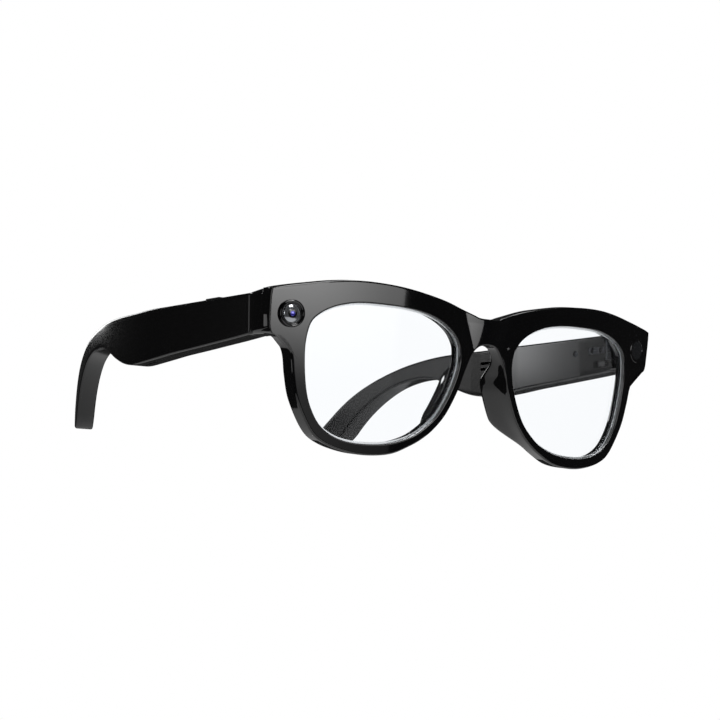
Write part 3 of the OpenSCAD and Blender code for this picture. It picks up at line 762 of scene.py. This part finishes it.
def temple_skin(edge=0.75, flats=9, arc=6):
    """The temple's skin. At each pair of rail points a section runs down the outer face, round the
    lower edge, up the inner face and round the top edge; the edges are quarter circles."""
    top, low = rails(90, 90)
    quarter = np.linspace(0, math.pi / 2, arc)
    flat = np.linspace(0, 1, flats + 2)[1:-1]

    def section(t, l, inset, dy):
        h = np.linalg.norm(l - t)
        d = (l - t) / max(h, 1e-6)
        r = min(edge, h * 0.49)
        # distance down from the top rail and depth into the temple, from the top to the low edge
        round_down = r * (1 - np.cos(quarter))
        round_in = r * (1 - np.sin(quarter))
        down = np.r_[round_down, r + (h - 2 * r) * flat, h - round_down[::-1]]
        into = np.r_[round_in, 0 * flat, round_in[::-1]]
        inner_down = np.r_[h - round_down, h - r - (h - 2 * r) * flat, round_down[::-1]]
        dist = inset + np.r_[down, inner_down] * (h - 2 * inset) / max(h, 1e-6)
        yz = t + d * dist[:, None]
        y = yz[:, 0] + dy
        half = len(down)
        x_out = side_x(y[:half], X_OUT, OUT_R) - into - inset
        x_in = side_x(y[half:], X_IN + SEAM, IN_R) + into + inset
        return np.stack([np.r_[x_out, x_in], y, yz[:, 1]], axis=1)

    # the front end is rounded: (distance back from the end, inset)
    ends = [(0.0, edge), (.1, edge * .6), (.28, edge * .3), (.5, edge * .1), (edge, 0)]
    rows = [section(top[0], low[0], inset, dy) for dy, inset in ends]
    past_end = np.flatnonzero(top[:, 0] > top[0, 0] + edge)
    rows += [section(top[i], low[i], 0.0, 0.0) for i in past_end]
    return capped(rows[0].mean(axis=0), rows, rows[-1].mean(axis=0))


def block(lo, hi):
    """A closed box between two corners in mm, for cutting."""
    corner = np.array([lo, hi], float)
    bits = (np.arange(8)[:, None] >> np.arange(3)) & 1
    verts = corner[bits, np.arange(3)]
    faces = [(0, 2, 3, 1), (4, 5, 7, 6), (0, 1, 5, 4), (2, 6, 7, 3), (0, 4, 6, 2), (1, 3, 7, 5)]
    return plain_mesh("cutter", verts, faces)


def drill(x0, x1, y, z, radius, sides=32):
    """A closed cylinder along x, for cutting: two circles of the radius round (y, z)."""
    a = np.linspace(0, 2 * np.pi, sides, endpoint=False)
    ring = np.stack([np.zeros(sides), y + radius * np.cos(a), z + radius * np.sin(a)], axis=1)
    verts = np.vstack([ring + [min(x0, x1), 0, 0], ring + [max(x0, x1), 0, 0]])
    faces = grid_faces(2, sides, wrap_cols=True)
    faces += [list(reversed(range(sides))), list(range(sides, 2 * sides))]
    return plain_mesh("drill", verts, faces)


def cut(ob, tools):
    """Takes closed boxes and cylinders out of a closed piece and applies the result."""
    for tool in tools:
        mod = ob.modifiers.new("cut", "BOOLEAN")
        mod.operation = "DIFFERENCE"
        mod.solver = "EXACT"
        mod.object = tool
        bpy.context.view_layer.objects.active = ob
        bpy.ops.object.modifier_apply(modifier=mod.name)
        bpy.data.objects.remove(tool, do_unlink=True)


def inner_x(y):
    """Across position of the temple's inner face at y."""
    return side_x(y, X_IN, IN_R)


def temple_pockets(side):
    """What is cut out of a temple: the button well or the switch slot, the speaker slots, the
    hinge leaf's pocket and the vents as boxes, and the cover screws as drilled holes."""
    pairs = []
    if side < 0:
        lo, hi = node_box("capture_button")
        gap = .08
        pairs.append((lo - [gap, gap, 1.2], hi + [gap, gap, 1]))
    else:
        lo, hi = node_box("power_switch")
        gap, travel = .1, 2
        pairs.append((lo - [1, gap, gap], hi + [.2, travel + gap, gap]))
    for i in range(SPEAKER_SLOTS):
        y = SPEAKER_Y + SLOT_PITCH * i
        x = side_x(y, X_OUT, OUT_R) - SPEAKER_IN
        pairs.append(([side * (x - .45), y - 1.0, -6], [side * (x + .45), y + 1.0, -3.9]))
    lo, hi = node_box("temple_hinge_" + side_name(side))
    knuckle = 1.3
    pairs.append(([side * (X_IN - 1), 13, lo[2] + knuckle],
                  [side * (X_IN + 1.05), hi[1] + .1, hi[2] - knuckle]))
    x = inner_x(VENT_Y)
    for z in VENT_Z:
        pairs.append(([side * (x - 1.5), VENT_Y - 4.1, z - .5],
                      [side * (x + 1.6), VENT_Y + 4.1, z + .5]))
    tools = [block(np.minimum(a, b), np.maximum(a, b)) for a, b in pairs]
    for y, z in COVER_SCREWS:
        x = inner_x(y)
        tools.append(drill(side * (x - 1.5), side * (x + 2.4), y, z, SCREW_POCKET_R))
    return tools


def build_temple(side):
    """The temple skin on its side, with its pockets cut out."""
    verts, faces = temple_skin()
    name = side_name(side)
    ob = new_object("temple_skin_" + name, verts * [side, 1, 1], faces, "temple_" + name,
                    MAT["shell"])
    weld(ob)
    cut(ob, temple_pockets(side))
    shade(ob, 40)
    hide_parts("temple_shell_" + name)


build_front()
for s in (1, -1):
    end_block(s)
    lens(s)
    build_temple(s)
build_camera()
build_light()


# ---- studio -----------------------------------------------------------------

def pale_floor(radius=0.6, z=-0.3, sides=96):
    """A disc of pale matt paper under the object: points evenly round one circle."""
    a = np.linspace(0, 2 * np.pi, sides, endpoint=False)
    ring = np.stack([radius * np.cos(a), radius * np.sin(a) + 0.05, np.full(sides, z)], axis=1)
    ob = plain_mesh("floor", ring / MM, [list(range(sides))])
    ob.data.materials.append(shader("pale_paper", "#f4f4f4", 0.9, specular=0.1)[0])


def softbox(name, place, target, size, watts, fade=()):
    """A rectangular area light at a place in metres, facing a target. Each fade is
    (axis, from, to, value): across the box its strength goes from 1 to the value."""
    light = bpy.data.lights.new(name, "AREA")
    light.shape = "RECTANGLE"
    light.size, light.size_y = size
    light.energy = watts
    ob = bpy.data.objects.new(name, light)
    ob.location = place
    ob.rotation_euler = (Vector(place) - Vector(target)).to_track_quat("Z", "Y").to_euler()
    ob.visible_camera = False
    bpy.context.scene.collection.objects.link(ob)
    if not fade:
        return
    light.use_nodes = True
    nt = light.node_tree
    place_on_box = add_node(nt, "NewGeometry").outputs["Parametric"]
    axes = add_node(nt, "SeparateXYZ", links={"Vector": place_on_box})
    strength = None
    for axis, start, end, value in fade:
        level = add_node(nt, "MapRange",
                         {"From Min": start, "From Max": end, "To Min": 1.0, "To Max": value},
                         {"Value": axes.outputs[axis]})
        level.interpolation_type = "SMOOTHSTEP"
        if strength is None:
            strength = level.outputs["Result"]
        else:
            product = add_node(nt, "Math", links={0: strength, 1: level.outputs["Result"]})
            product.operation = "MULTIPLY"
            strength = product.outputs["Value"]
    nt.links.new(strength, nt.nodes["Emission"].inputs["Strength"])


def studio():
    """White surroundings that show fully to the eye and through the lenses but reflect little, and
    six area lights: a fading softbox in front, turned to the wearer's left, a softbox beside the
    wearer's right, a small card above and behind the wearer's right ear, a wide softbox overhead,
    a thin strip far out in front to the wearer's right, and a small softbox high in front."""
    world = bpy.data.worlds.new("studio")
    bpy.context.scene.world = world
    world.use_nodes = True
    nt = world.node_tree
    bg = nt.nodes["Background"]
    bg.inputs["Color"].default_value = (1, 1, 1, 1)
    path = add_node(nt, "LightPath")
    seen = add_node(nt, "Math", links={0: path.outputs["Is Camera Ray"],
                                       1: path.outputs["Is Transmission Ray"]})
    seen.operation = "MAXIMUM"
    level = add_node(nt, "MapRange", {"To Min": 0.03, "To Max": 1.0},
                     {"Value": seen.outputs["Value"]})
    nt.links.new(level.outputs["Result"], bg.inputs["Strength"])
    bpy.context.scene.view_settings.view_transform = "Standard"
    middle = (0, 0.03, 0)
    distance, turn = 0.9, math.radians(10.0)
    front = (distance * math.sin(turn), -distance * math.cos(turn), 0.0)
    softbox("front_softbox", front, (0, 0, 0), (0.59, 0.45), 3.6,
            [("X", 0.55, 1.0, 0.45), ("Y", 0.35, 0.16, 0.08)])
    softbox("side_softbox", (-0.45, 0.225, 0.03), (0, 0.225, 0), (0.35, 0.3), 0.35)
    softbox("ear_card", (-0.0535, 0.2, 0.06), (0.02, 0.1, 0.03), (0.047, 0.08), 0.07)
    softbox("top_softbox", (0.1, 0.2, 1.2), middle, (1.0, 1.0), 14.0)
    softbox("edge_strip", (-0.70, -0.84, -0.12), middle, (0.05, 0.3), 0.5)
    softbox("high_front", (0.02, -0.6, 0.42), middle, (0.25, 0.2), 1.3)


def camera():
    """A long lens in front of and a little below the wearer's right."""
    cam = bpy.data.cameras.new("camera")
    cam.sensor_width = 36
    cam.lens = 126.97
    ob = bpy.data.objects.new("camera", cam)
    right = Vector((0.76561, -0.64329, 0.00434))
    up = Vector((-0.07516, -0.08275, 0.99373))
    back = Vector((-0.63890, -0.76114, -0.11171))
    m = Matrix((right, up, back)).transposed().to_4x4()
    m.translation = Vector((-0.48909, -0.52804, -0.08513))
    ob.matrix_world = m
    cam.clip_start = 0.01
    cam.clip_end = 100
    bpy.context.scene.collection.objects.link(ob)
    bpy.context.scene.camera = ob


pale_floor()
studio()
camera()
